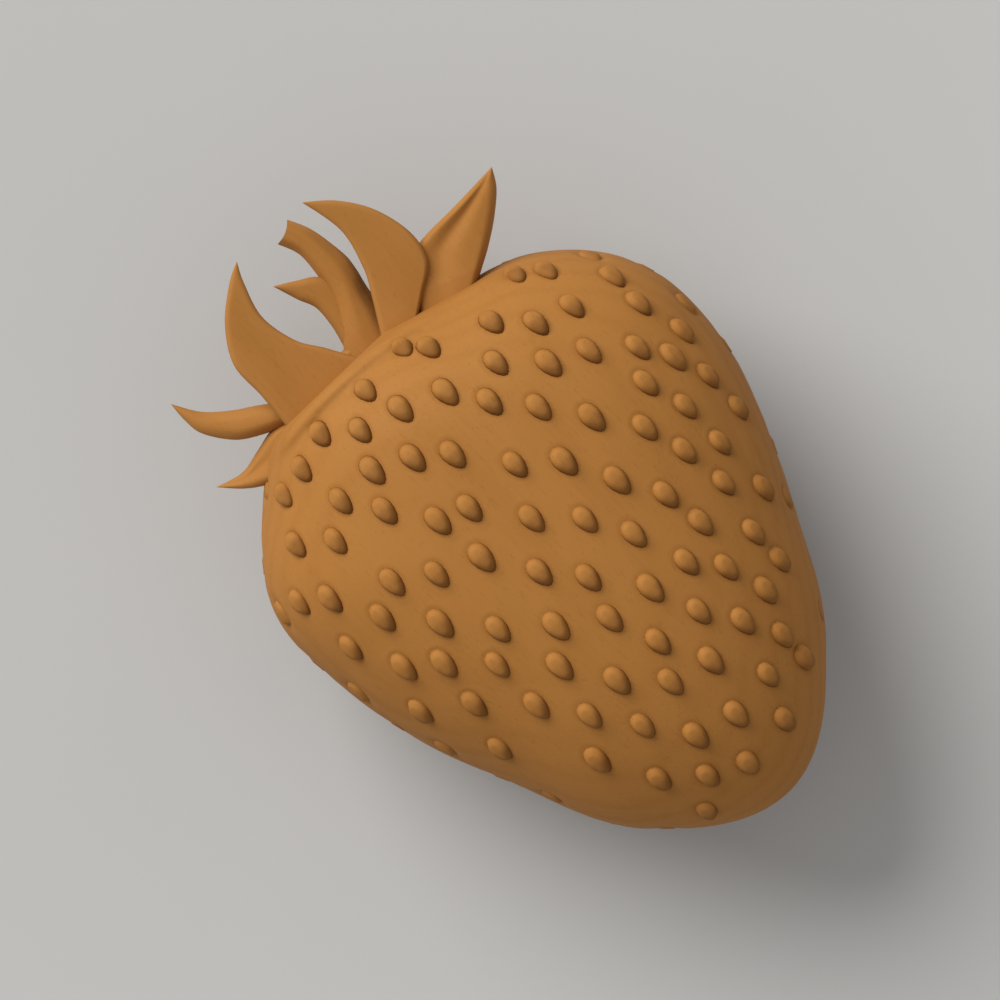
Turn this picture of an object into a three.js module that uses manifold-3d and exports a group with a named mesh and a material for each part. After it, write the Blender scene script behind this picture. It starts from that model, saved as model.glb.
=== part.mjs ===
// A carved wooden strawberry, life size, lying on a small flat spot on its back.
// Millimetres. +Z is up and +X runs from the calyx to the fruit's tip.
// The origin is on the flat spot, straight below the fruit's thickest point.

import * as THREE from 'three';
import Module from 'manifold-3d';
import { mergeVertices } from 'three/addons/utils/BufferGeometryUtils.js';

const wasm = await Module();
wasm.setup();

// Fruit
const FRONT_HEIGHT = 13.0; // from the widest outline up to the top
const BACK_HEIGHT = 15.0; // from the widest outline down, before the flat spot is cut
const FLAT_DEPTH = 0.4; // how much the flat spot takes off the back
const DOME_POWER = 2.4; // 2 is an ellipse; more keeps the middle flatter and the rim rounder
const SHOULDER_POWER = 4.0; // the same by the calyx, where the shoulders are fuller
const FRUIT_SIDES = 64;
const FRUIT_RINGS = 32;

// The widest outline, seen from above: radii at even angles, counted from +X towards +Y
const OUTLINE_RADII = [
  30.7, 26.0, 21.7, 20.4, 21.1, 22.0, 20.9, 18.7,
  19.4, 21.2, 21.2, 21.7, 20.2, 20.1, 21.6, 26.9,
];

// Calyx
const SEAT_X = -18.4; // the flat seat cut across the shoulder
const GAP = 0.3; // between pieces that meet
const HUB = { thickness: 1.0, halfWidth: 6.6, halfHeight: 2.9, y: -1.5, sides: 24 };
const STEM_X = SEAT_X - HUB.thickness - 2 * GAP;
const SEPAL_THICKNESS = { base: 1.4, tip: 0.6 };
const SEPAL_REACH = 0.98; // sepals end just short of a knife point
const FAR_REACH = 0.92; // and the ones on the far side shorter still
const FLARE = 1.5; // 1 is a straight rise from base to tip; more starts it flatter
const LIMB_SIDES = 10;
const LIMB_STEPS = 12;

const MID_HEIGHT = BACK_HEIGHT - FLAT_DEPTH; // height of the widest outline above the floor
const CUTTER = 80; // larger than the fruit

const FRUIT_WOOD = { color: 0xb8783e, roughness: 0.62, metalness: 0 };
const CALYX_WOOD = { color: 0xb0733a, roughness: 0.66, metalness: 0 };

// Edges seen from above, each from the base to the tip. `left` is the left one when looking
// from the base to the tip. `lift` is the height of the base and of the tip above MID_HEIGHT.
const SEPALS = {
  sepal_upper: {
    left: [[-18.2, 6.0], [-20.4, 7.4], [-21.6, 9.6], [-21.9, 13.0], [-22.0, 17.1]],
    right: [[-16.8, 11.1], [-17.6, 12.5], [-18.9, 14.4], [-20.5, 16.2], [-22.0, 17.1]],
    lift: { base: 2.4, tip: 4.4 },
  },
  sepal_front_right: {
    left: [[-18.7, 1.4], [-21.0, 2.8], [-23.4, 3.8], [-26.6, 4.7], [-30.4, 4.2]],
    right: [[-18.7, 6.4], [-20.2, 8.3], [-22.8, 8.8], [-26.0, 8.0], [-28.6, 6.3], [-30.4, 4.2]],
    lift: { base: 4.0, tip: 5.4 },
  },
  sepal_front_left: {
    left: [[-18.8, -9.0], [-21.6, -8.8], [-24.8, -8.7], [-27.6, -7.0], [-29.7, -4.5], [-30.6, -2.8]],
    right: [[-18.7, -1.3], [-20.8, -2.5], [-22.9, -3.8], [-26.0, -4.4], [-28.9, -3.6], [-30.6, -2.8]],
    lift: { base: 4.0, tip: 5.2 },
  },
  sepal_lower_left: {
    left: [[-19.4, -10.3], [-20.4, -12.6], [-22.6, -14.3], [-24.4, -14.6], [-26.1, -14.5]],
    right: [[-19.6, -8.7], [-21.0, -9.4], [-22.2, -11.2], [-24.0, -13.2], [-26.1, -14.5]],
    lift: { base: 1.8, tip: 1.0 },
  },
  sepal_lower: {
    left: [[-16.4, -13.7], [-16.7, -14.7], [-17.5, -15.6], [-18.8, -16.5]],
    right: [[-19.0, -10.8], [-18.6, -12.2], [-18.3, -14.2], [-18.8, -16.5]],
    lift: { base: 0.8, tip: -0.6 },
  },
};

// The three sepals on the far side follow the ones in front of them, a little narrower
const FAR_SEPALS = {
  sepal_back_upper: { follows: 'sepal_upper', narrow: 0.8, lift: { base: -1.6, tip: -5.4 } },
  sepal_back_right: { follows: 'sepal_front_right', narrow: 0.86, lift: { base: -4.0, tip: -8.8 } },
  sepal_back_left: { follows: 'sepal_front_left', narrow: 0.86, lift: { base: -4.0, tip: -8.4 } },
};

const STEM = {
  left: [[STEM_X, -1.0], [-22.0, 0.1], [-23.6, 0.8], [-25.4, 1.1], [-27.6, 1.2], [-29.4, 0.5]],
  right: [[STEM_X, 2.6], [-22.0, 3.2], [-23.8, 3.9], [-25.5, 4.2], [-28.3, 3.3], [-30.3, 2.4]],
  lift: { base: 1.2, tip: 1.6 },
  thickness: { base: 3.0, tip: 2.2 },
};

const BRACT = {
  left: [[STEM_X, -1.5], [-21.8, -1.0], [-23.7, -0.6], [-25.1, -1.2], [-27.2, -2.1]],
  right: [[-22.0, -0.3], [-23.6, 0.4], [-25.5, 0.7], [-26.5, -0.8], [-27.2, -2.1]],
  lift: { base: 1.4, tip: 2.0 },
  thickness: { base: 1.0, tip: 0.6 },
};

const strawberry = new THREE.Group();

/** Adds one named sub-part, closed up to shared vertices, with its own material. */
function add(name, geometry, finish) {
  geometry.computeVertexNormals();
  const mesh = new THREE.Mesh(geometry, new THREE.MeshStandardMaterial(finish));
  mesh.name = name;
  strawberry.add(mesh);
}

/** Keeps only the positions of a geometry and merges the ones that coincide. */
function closed(geometry) {
  geometry.deleteAttribute('normal');
  geometry.deleteAttribute('uv');
  return mergeVertices(geometry);
}

/** Turns a closed geometry into a solid that can be cut. */
function solidOf(geometry) {
  const merged = closed(geometry);
  return new wasm.Manifold(new wasm.Mesh({
    numProp: 3,
    vertProperties: new Float32Array(merged.attributes.position.array),
    triVerts: new Uint32Array(merged.index.array),
  }));
}

/** Turns a cut solid back into a geometry. */
function geometryOf(solid) {
  const { vertProperties, triVerts } = solid.getMesh();
  const geometry = new THREE.BufferGeometry();
  geometry.setAttribute('position', new THREE.BufferAttribute(vertProperties, 3));
  geometry.setIndex(new THREE.BufferAttribute(triVerts, 1));
  return geometry;
}

/** Moves every vertex of a geometry to the place that `place` gives for it. */
function reshape(geometry, place) {
  const position = geometry.attributes.position;
  const vertex = new THREE.Vector3();
  for (let i = 0; i < position.count; i++) {
    vertex.fromBufferAttribute(position, i);
    position.setXYZ(i, ...place(vertex));
  }
  return geometry;
}

/** The outline's radius at an angle, on a smooth curve through OUTLINE_RADII. */
function outlineRadius(angle) {
  const count = OUTLINE_RADII.length;
  const place = (angle / (2 * Math.PI) + 1) * count;
  const first = Math.floor(place);
  const part = place - first;
  const [a, b, c, d] = [-1, 0, 1, 2].map((step) => OUTLINE_RADII[(first + step) % count]);
  return b + 0.5 * part * (c - a + part * (2 * a - 5 * b + 4 * c - d + part * (3 * (b - c) + d - a)));
}

/** The power that rules the dome at an angle: even all round, with fuller shoulders by the calyx. */
function domePower(angle) {
  const towardsCalyx = Math.max(-Math.cos(angle), 0) ** 4;
  return THREE.MathUtils.lerp(DOME_POWER, SHOULDER_POWER, towardsCalyx);
}

/** The fruit: a flattened dome above and below its widest outline, cut flat for floor and calyx. */
function fruitGeometry() {
  const ball = new THREE.SphereGeometry(1, FRUIT_SIDES, FRUIT_RINGS).rotateX(Math.PI / 2);
  const dome = reshape(closed(ball), ({ x, y, z }) => {
    const angle = Math.atan2(y, x);
    const spread = Math.min(1, Math.hypot(x, y));
    const radius = spread * outlineRadius(angle);
    const height = (z > 0 ? FRONT_HEIGHT : BACK_HEIGHT) * Math.sqrt(1 - spread ** domePower(angle));
    return [radius * Math.cos(angle), radius * Math.sin(angle), MID_HEIGHT + Math.sign(z) * height];
  });
  const floor = new THREE.BoxGeometry(CUTTER, CUTTER, CUTTER).translate(0, 0, -CUTTER / 2);
  const seat = new THREE.BoxGeometry(CUTTER, CUTTER, CUTTER).translate(SEAT_X - CUTTER / 2, 0, 0);
  return geometryOf(solidOf(dome).subtract(solidOf(floor)).subtract(solidOf(seat)));
}

/** The hub: an oval button with a rounded edge, standing on the fruit's seat. */
function hubGeometry() {
  const profile = [[0, 0], [1, 0], [1, 0.55], [0.75, 1], [0, 1]];
  const button = new THREE.LatheGeometry(profile.map((p) => new THREE.Vector2(...p)), HUB.sides);
  return reshape(closed(button), ({ x, y, z }) => [
    SEAT_X - GAP - y * HUB.thickness,
    HUB.y + x * HUB.halfWidth,
    MID_HEIGHT + z * HUB.halfHeight,
  ]);
}

/** A sepal, bract or stem: an oval section that runs from base to tip between two edges. */
function limbGeometry({ left, right, lift, thickness = SEPAL_THICKNESS, reach = 1, narrow = 1 }) {
  const [leftEdge, rightEdge] = [left, right].map(
    (points) => new THREE.SplineCurve(points.map((p) => new THREE.Vector2(...p))),
  );
  const rod = new THREE.CylinderGeometry(1, 1, 1, LIMB_SIDES, LIMB_STEPS);
  return reshape(closed(rod), ({ x, y, z }) => {
    const along = (y + 0.5) * reach;
    const across = (1 + x * narrow) / 2;
    const point = leftEdge.getPointAt(along).lerp(rightEdge.getPointAt(along), across);
    const middle = MID_HEIGHT + THREE.MathUtils.lerp(lift.base, lift.tip, along ** FLARE);
    const half = THREE.MathUtils.lerp(thickness.base, thickness.tip, along) / 2;
    return [point.x, point.y, middle + z * half];
  });
}

add('fruit', fruitGeometry(), FRUIT_WOOD);
add('calyx_hub', hubGeometry(), CALYX_WOOD);
for (const [name, sepal] of Object.entries(SEPALS)) {
  add(name, limbGeometry({ ...sepal, reach: SEPAL_REACH }), CALYX_WOOD);
}
for (const [name, { follows, narrow, lift }] of Object.entries(FAR_SEPALS)) {
  add(name, limbGeometry({ ...SEPALS[follows], narrow, lift, reach: FAR_REACH }), CALYX_WOOD);
}
add('stem', limbGeometry(STEM), CALYX_WOOD);
add('stem_bract', limbGeometry({ ...BRACT, reach: SEPAL_REACH }), CALYX_WOOD);

export default strawberry;
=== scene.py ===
"""A carved wooden strawberry, life size, lying on the small flat spot on its back.

Metres throughout. +X runs from the calyx to the fruit's tip, +Z is up and the floor is z = 0.
The carving is an outline seen from above, domed to both sides, with seeds, a crown of sepals
and a short cut stem.
"""

import logging
import math
from dataclasses import dataclass
from enum import Enum
from functools import partialmethod

import bmesh
import bpy
import numpy as np
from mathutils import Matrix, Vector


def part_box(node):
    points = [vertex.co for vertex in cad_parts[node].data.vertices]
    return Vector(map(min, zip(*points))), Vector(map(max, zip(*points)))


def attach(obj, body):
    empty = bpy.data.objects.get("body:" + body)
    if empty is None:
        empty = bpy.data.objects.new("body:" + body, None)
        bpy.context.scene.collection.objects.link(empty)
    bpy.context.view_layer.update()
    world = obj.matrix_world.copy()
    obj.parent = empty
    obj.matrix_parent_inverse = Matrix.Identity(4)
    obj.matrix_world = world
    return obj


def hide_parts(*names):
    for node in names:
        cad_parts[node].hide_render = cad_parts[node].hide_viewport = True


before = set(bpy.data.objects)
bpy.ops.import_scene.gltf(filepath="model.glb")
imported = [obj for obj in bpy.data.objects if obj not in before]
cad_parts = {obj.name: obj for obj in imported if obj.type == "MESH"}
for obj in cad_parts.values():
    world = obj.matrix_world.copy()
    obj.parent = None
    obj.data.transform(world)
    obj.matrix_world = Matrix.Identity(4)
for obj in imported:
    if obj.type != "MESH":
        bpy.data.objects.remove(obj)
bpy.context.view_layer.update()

Array = np.ndarray
Pair = tuple[float, float]
Triple = tuple[float, float, float]
Colour = tuple[float, float, float, float]
Faces = list[tuple[int, ...]]
Material = bpy.types.Material
Mesh = bpy.types.Mesh
Node = bpy.types.Node
Piece = bpy.types.Object
Socket = bpy.types.NodeSocket

MM = 0.001
BODY = "root"
log = logging.getLogger("strawberry")


class Slot(Enum):
    """The record's two material slots."""

    FRUIT = "fruit_wood"
    CALYX = "calyx_wood"


class TreeKind(Enum):
    """The two kinds of node tree."""

    SHADER = "ShaderNodeTree"
    GEOMETRY = "GeometryNodeTree"


# Shared tools


def show(name: str, data: bpy.types.ID) -> Piece:
    """Puts a mesh, a light or a camera in the scene as an object at the origin.

    Args:
        name: The object's name.
        data: What it shows.

    Returns:
        The object.
    """
    piece = bpy.data.objects.new(name, data)
    bpy.context.scene.collection.objects.link(piece)
    return piece


def carve(name: str, points: Array, faces: Faces, crease: float, material: Material) -> Piece:
    """Makes a smooth-shaded piece that stays sharp where it bends by more than an angle.

    Args:
        name: The piece's name.
        points: Vertex places, one row each.
        faces: Vertex numbers of each face.
        crease: Angle in degrees above which an edge is sharp.
        material: Its finish.

    Returns:
        The piece, with its faces pointing outwards.
    """
    mesh = bpy.data.meshes.new(name)
    mesh.from_pydata(points.tolist(), [], faces)
    shell = bmesh.new()
    shell.from_mesh(mesh)
    bmesh.ops.recalc_face_normals(shell, faces=shell.faces)
    shell.to_mesh(mesh)
    shell.free()
    mesh.shade_smooth()
    mesh.set_sharp_from_angle(angle=math.radians(crease))
    mesh.materials.append(material)
    return show(name, mesh)


def store(mesh: Mesh, name: str, values: Array) -> None:
    """Keeps a number, or a vector where there are three columns, for each vertex."""
    kind, field = ("FLOAT_VECTOR", "vector") if values.ndim > 1 else ("FLOAT", "value")
    mesh.attributes.new(name, kind, "POINT").data.foreach_set(field, values.astype(np.float32).ravel())


def read(source: object, field: str, columns: int = 1) -> Array:
    """Reads what each vertex carries.

    Args:
        source: The vertices, or an attribute's data.
        field: Blender's name for what is read.
        columns: How many numbers each vertex has.

    Returns:
        One row for each vertex.
    """
    values = np.empty((len(source), columns), np.float32)
    source.foreach_get(field, values.ravel())
    return values


def move_vertices(mesh: Mesh, places: Array) -> None:
    """Puts the vertices at new places, one row each."""
    mesh.vertices.foreach_set("co", places.astype(np.float32).ravel())
    mesh.update()


def settle(piece: Piece, slot: Slot, *nodes: str) -> None:
    """Ties a finished piece to the frame and reports it.

    Args:
        piece: The finished object.
        slot: The material slot that it belongs to; not used.
        nodes: The CAD nodes that it stands for.
    """
    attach(piece, BODY)
    if nodes:
        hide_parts(*nodes)
    log.info("%s: %d faces", piece.name, len(piece.data.polygons))


def smooth_step(values: Array, start: float, end: float) -> Array:
    """Rises smoothly from 0 to 1 between two values."""
    part = np.clip((values - start) / (end - start), 0, 1)
    return part * part * (3 - 2 * part)


def along_curve(a: Array, b: Array, c: Array, d: Array, part: Array) -> Array:
    """Follows a smooth curve through four points for a part, from 0 to 1, of the way from b to c."""
    bend = 2 * a - 5 * b + 4 * c - d + part * (3 * (b - c) + d - a)
    return b + 0.5 * part * (c - a + part * bend)


def travelled(path: Array) -> Array:
    """The distance from a path's start to each of its points."""
    steps = np.linalg.norm(np.diff(path, axis=0), axis=1)
    return np.concatenate([[0.0], np.cumsum(steps)])


def ring_faces(firsts: list[int], size: int) -> Faces:
    """Lists the faces between rings of points, each ring given by its first point's number."""
    pairs = [(k, (k + 1) % size) for k in range(size)]
    return [(a + k, a + n, b + n, b + k) for a, b in zip(firsts, firsts[1:]) for k, n in pairs]


def fan_faces(first: int, size: int, centre: int) -> Faces:
    """Lists the faces that close a ring of points on to its centre."""
    return [(first + k, first + (k + 1) % size, centre) for k in range(size)]


def close_rings(rings: Array, ends: list[Array]) -> tuple[Array, Faces]:
    """Joins rings of points into a tube and closes it at both ends.

    Args:
        rings: The tube's rings, one after another.
        ends: What closes the first and the last ring: smaller rings, and then a centre point.

    Returns:
        The points and the faces.
    """
    count, size = rings.shape[:2]
    start = count * size
    faces = ring_faces(list(range(0, start, size)), size)
    for row, end in zip((0, count - 1), ends):
        firsts = [row * size, *range(start, start + len(end) - 1, size)]
        start += len(end)
        faces += ring_faces(firsts, size) + fan_faces(firsts[-1], size, start - 1)
    return np.concatenate([rings.reshape(-1, 3), *ends]), faces


class NodeBoard:
    """Adds and joins nodes in one tree, so that a recipe reads as a list of steps."""

    def __init__(self, tree: bpy.types.NodeTree) -> None:
        """Starts on a tree."""
        self.tree = tree

    def feed(self, target: Socket, value: object) -> None:
        """Links a socket to an input, or sets the input to a plain value.

        Args:
            target: The input.
            value: The socket or the plain value.
        """
        if isinstance(value, Socket):
            self.tree.links.new(value, target)
        else:
            target.default_value = value

    def add(self, kind: str, inputs: dict[object, object] | None = None, **settings: object) -> Node:
        """Adds a node.

        Args:
            kind: Blender's name for the node's type.
            inputs: What its inputs get, by their names or numbers.
            settings: Values for the node's own properties.

        Returns:
            The new node.
        """
        node = self.tree.nodes.new(kind)
        for name, value in settings.items():
            setattr(node, name, value)
        for key, value in (inputs or {}).items():
            self.feed(node.inputs[key], value)
        return node

    def math(self, operation: str, *values: object, clamp: bool = False) -> Socket:
        """Does a sum with numbers or sockets, its result kept between 0 and 1 if asked."""
        node = self.add("ShaderNodeMath", dict(enumerate(values)), operation=operation, use_clamp=clamp)
        return node.outputs[0]

    # Short names for the sums that recipes use most
    plus = partialmethod(math, "ADD")
    minus = partialmethod(math, "SUBTRACT")
    times = partialmethod(math, "MULTIPLY")
    over = partialmethod(math, "DIVIDE")
    times_plus = partialmethod(math, "MULTIPLY_ADD")

    def vector(self, operation: str, *values: object) -> Node:
        """Adds a Vector Math node and returns it."""
        return self.add("ShaderNodeVectorMath", dict(enumerate(values)), operation=operation)

    def shift(self, direction: Socket, length: Socket) -> Socket:
        """A move of a given length along a direction."""
        inputs = {0: direction, "Scale": length}
        return self.add("ShaderNodeVectorMath", inputs, operation="SCALE").outputs[0]

    def ramp(self, value: object, start: object, end: object, low: float = 0.0, high: float = 1.0) -> Socket:
        """Steps smoothly from the low to the high value as what is measured passes start and end."""
        inputs = dict(enumerate((value, start, end, low, high)))
        return self.add("ShaderNodeMapRange", inputs, interpolation_type="SMOOTHSTEP").outputs["Result"]

    def blend(self, share: object, first: object, second: object) -> Socket:
        """Mixes two colours.

        Args:
            share: How much of the second colour there is.
            first: The first colour.
            second: The second colour.

        Returns:
            The mixed colour's socket.
        """
        node = self.add("ShaderNodeMix", {"Factor": share}, data_type="RGBA")
        colours = [socket for socket in node.inputs if socket.type == "RGBA"]
        for socket, colour in zip(colours, (first, second)):
            self.feed(socket, colour)
        return next(socket for socket in node.outputs if socket.type == "RGBA")

    def noise(self, place: Socket, scale: float, detail: float, stretch: Triple | None = None) -> Socket:
        """Adds a noise pattern.

        Args:
            place: Where the pattern is read.
            scale: How fine it is.
            detail: How many finer layers it has.
            stretch: The scale along each axis, so that it is drawn out where this is below 1.

        Returns:
            The pattern's value.
        """
        drawn = self.vector("MULTIPLY", place, stretch).outputs[0] if stretch else place
        inputs = {"Vector": drawn, "Scale": scale, "Detail": detail}
        return self.add("ShaderNodeTexNoise", inputs).outputs["Fac"]

    def attribute(self, name: str, kind: str = "FLOAT") -> Socket:
        """Reads a number or vector that each point carries."""
        node = self.add("GeometryNodeInputNamedAttribute", {"Name": name}, data_type=kind)
        return node.outputs["Attribute"]

    def keep(self, geometry: Socket, name: str, value: Socket) -> Socket:
        """Stores a number on every point, for the finish to read, and returns the geometry."""
        inputs = {"Geometry": geometry, "Name": name, "Value": value}
        return self.add("GeometryNodeStoreNamedAttribute", inputs).outputs["Geometry"]

    def place(self, geometry: Socket, way: str, value: Socket) -> Socket:
        """Moves every point to a Position or by an Offset, and returns the geometry."""
        return self.add("GeometryNodeSetPosition", {"Geometry": geometry, way: value}).outputs["Geometry"]


class GroupBoard(NodeBoard):
    """A board on a new node group, with its named inputs and outputs."""

    SOCKET_KINDS = {float: "Float", int: "Int"}

    def __init__(self, name: str, kind: TreeKind, inputs: dict[str, object], outputs: dict[str, str]) -> None:
        """Opens the group.

        Args:
            name: The group's name.
            kind: The kind of tree.
            inputs: Each input's value, or the name of its socket type where it has none.
            outputs: The socket type of each output.
        """
        super().__init__(bpy.data.node_groups.new(name, kind.value))
        self.values: dict[str, object] = {}
        for label, value in inputs.items():
            if isinstance(value, str):
                self.open(label, "INPUT", value)
            else:
                self.values[self.open(label, "INPUT", self.SOCKET_KINDS.get(type(value), "Object"))] = value
        for label, socket_kind in outputs.items():
            self.open(label, "OUTPUT", socket_kind)
        self.given = self.add("NodeGroupInput").outputs
        self.result = self.add("NodeGroupOutput").inputs

    def open(self, label: str, way: str, socket_kind: str) -> str:
        """Adds a named input or output and returns its identifier."""
        kind = "NodeSocket" + socket_kind
        return self.tree.interface.new_socket(name=label, in_out=way, socket_type=kind).identifier

    def finish(self, geometry: Socket, material: Material) -> None:
        """Ends a Geometry Nodes tree: copies made real, and the finish put on.

        Args:
            geometry: The tree's last geometry.
            material: The finish.
        """
        real = self.add("GeometryNodeRealizeInstances", {"Geometry": geometry}).outputs["Geometry"]
        finished = self.add("GeometryNodeSetMaterial", {"Geometry": real, "Material": material})
        self.feed(self.result["Geometry"], finished.outputs["Geometry"])

    def grow(self, name: str, mesh: Mesh) -> Piece:
        """Runs the tree on a mesh and keeps the result as a plain mesh.

        Args:
            name: The finished object's name.
            mesh: What the tree starts from.

        Returns:
            The finished object, with no modifier left on it.
        """
        start = show(name + "_start", mesh)
        modifier = start.modifiers.new(self.tree.name, "NODES")
        modifier.node_group = self.tree
        for identifier, value in self.values.items():
            modifier[identifier] = value
        evaluated = start.evaluated_get(bpy.context.evaluated_depsgraph_get())
        result = bpy.data.meshes.new_from_object(evaluated)
        bpy.data.objects.remove(start)
        result.name = name
        return show(name, result)


def named(maker: object, *labels: str) -> dict[str, object]:
    """Picks a maker's fields by the inputs that they go to: Pit Depth gets the field pit_depth."""
    return {label: getattr(maker, label.lower().replace(" ", "_")) for label in labels}


# The fruit's form


@dataclass(frozen=True)
class FruitForm:
    """The fruit's smooth body: an outline domed to the front and the back.

    The radii of the outline are in millimetres, at even angles from +X towards +Y.
    """

    radii: tuple[float, ...] = (
        30.5, 26.1, 21.7, 20.4, 21.1, 22.0, 20.9, 18.7,
        19.4, 21.2, 21.2, 21.7, 20.2, 20.1, 21.8, 27.0,
    )
    front: float = 13.0 * MM
    back: float = 15.0 * MM
    flat_depth: float = 0.4 * MM
    power: float = 2.4
    shoulder_power: float = 4.0
    seat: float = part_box("fruit")[0].x

    SHOULDER_FADE = 4
    PROBE = 0.02 * MM
    RIM_LIMIT = 0.985
    HALVINGS = 40

    @property
    def middle(self) -> float:
        """Height of the widest outline above the floor."""
        return self.back - self.flat_depth

    def outline(self, angle: Array) -> Array:
        """Gives the outline's radius, on a smooth curve through the stated radii.

        Args:
            angle: Angles in radians.

        Returns:
            Radii in metres.
        """
        count = len(self.radii)
        place = np.mod(angle / math.tau, 1.0) * count
        first = np.floor(place).astype(int)
        radii = np.array(self.radii) * MM
        neighbours = (radii[(first + step) % count] for step in (-1, 0, 1, 2))
        return along_curve(*neighbours, place - first)

    def squareness(self, angle: Array) -> Array:
        """The power that rules the dome: an even curve, with fuller shoulders by the calyx."""
        towards_calyx = np.maximum(-np.cos(angle), 0.0) ** self.SHOULDER_FADE
        return self.power + (self.shoulder_power - self.power) * towards_calyx

    def spread(self, points: Array) -> Array:
        """How far out points are, seen from above: 0 in the middle and 1 on the outline."""
        radius = np.hypot(points[..., 0], points[..., 1])
        return radius / self.outline(np.arctan2(points[..., 1], points[..., 0]))

    def fullness(self, points: Array) -> Array:
        """Gives 1 on the fruit's surface, less inside it and more outside it.

        Args:
            points: Places, one row each.

        Returns:
            One number for each place.
        """
        rise = points[..., 2] - self.middle
        height = np.where(rise > 0, self.front, self.back)
        power = self.squareness(np.arctan2(points[..., 1], points[..., 0]))
        return self.spread(points) ** power + (rise / height) ** 2

    def from_directions(self, directions: Array) -> Array:
        """Places unit directions on the fruit's surface.

        Args:
            directions: Unit vectors, one row each.

        Returns:
            One place on the surface for each.
        """
        angle = np.arctan2(directions[:, 1], directions[:, 0])
        share = np.minimum(np.hypot(directions[:, 0], directions[:, 1]), 1.0)
        radius = share * self.outline(angle)
        height = np.where(directions[:, 2] > 0, self.front, -self.back)
        rise = height * np.sqrt(1 - share ** self.squareness(angle))
        return np.stack([radius * np.cos(angle), radius * np.sin(angle), self.middle + rise], axis=1)

    def normals(self, points: Array) -> Array:
        """Gives the outward normal at places on the surface.

        Args:
            points: Places, one row each.

        Returns:
            One unit vector for each.
        """
        steps = self.PROBE * np.eye(3)
        slope = np.stack([self.fullness(points + s) - self.fullness(points - s) for s in steps], axis=-1)
        return slope / np.linalg.norm(slope, axis=-1, keepdims=True)

    def front_height(self, x: Array, y: Array) -> Array:
        """Height of the front dome over places seen from above."""
        share = np.minimum(self.spread(np.stack([x, y], axis=-1)), self.RIM_LIMIT)
        return self.middle + self.front * np.sqrt(1 - share ** self.squareness(np.arctan2(y, x)))

    def around(self, x: Array, turn: Array) -> Array:
        """Finds places on the surface by their distance along the fruit and their turn round it.

        Args:
            x: Distances along the fruit's length.
            turn: Angles round that length, from +Y towards +Z.

        Returns:
            One place on the surface for each.
        """
        near, far = np.zeros_like(turn), np.full_like(turn, 2 * self.back)
        for _ in range(self.HALVINGS):
            half = (near + far) / 2
            inside = self.fullness(self.on_spoke(x, turn, half)) < 1
            near, far = np.where(inside, half, near), np.where(inside, far, half)
        return self.on_spoke(x, turn, near)

    def on_spoke(self, x: Array, turn: Array, length: Array) -> Array:
        """Places at given lengths along spokes that leave the fruit's long middle line."""
        return np.stack([x, length * np.cos(turn), self.middle + length * np.sin(turn)], axis=-1)


@dataclass(frozen=True)
class Shoulder:
    """The turned-up lip round the calyx, and the shallow groove inside it. Sizes in millimetres.

    The lip runs along a bow seen from above. Its outer wall and the slope down into the groove
    are each given by where they start and end, measured inwards from that bow.
    """

    apex: Pair = (-18.4, -4.0)
    bend: float = 0.0113
    height: float = 1.0
    wall: Pair = (-0.25, 0.25)
    slope: Pair = (0.3, 1.9)
    groove: float = 0.3
    groove_at: float = 1.2
    groove_width: float = 0.55
    span: Pair = (-5.5, 14.5)
    fade: float = 3.0

    def rise(self, points: Array) -> Array:
        """Shapes the lip and the groove.

        Args:
            points: Places on the front, one row each.

        Returns:
            How far each is lifted, in metres.
        """
        across = points[:, 1] / MM - self.apex[1]
        inside = points[:, 0] / MM - (self.apex[0] + self.bend * across**2)
        profile = smooth_step(inside, *self.wall) * (1 - smooth_step(inside, *self.slope))
        cut = self.groove * np.exp(-(((inside - self.groove_at) / self.groove_width) ** 2))
        start, end = self.span
        faded = 1 - smooth_step(across, end, end + self.fade)
        return MM * (self.height * profile - cut) * smooth_step(across, start - self.fade, start) * faded


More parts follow.
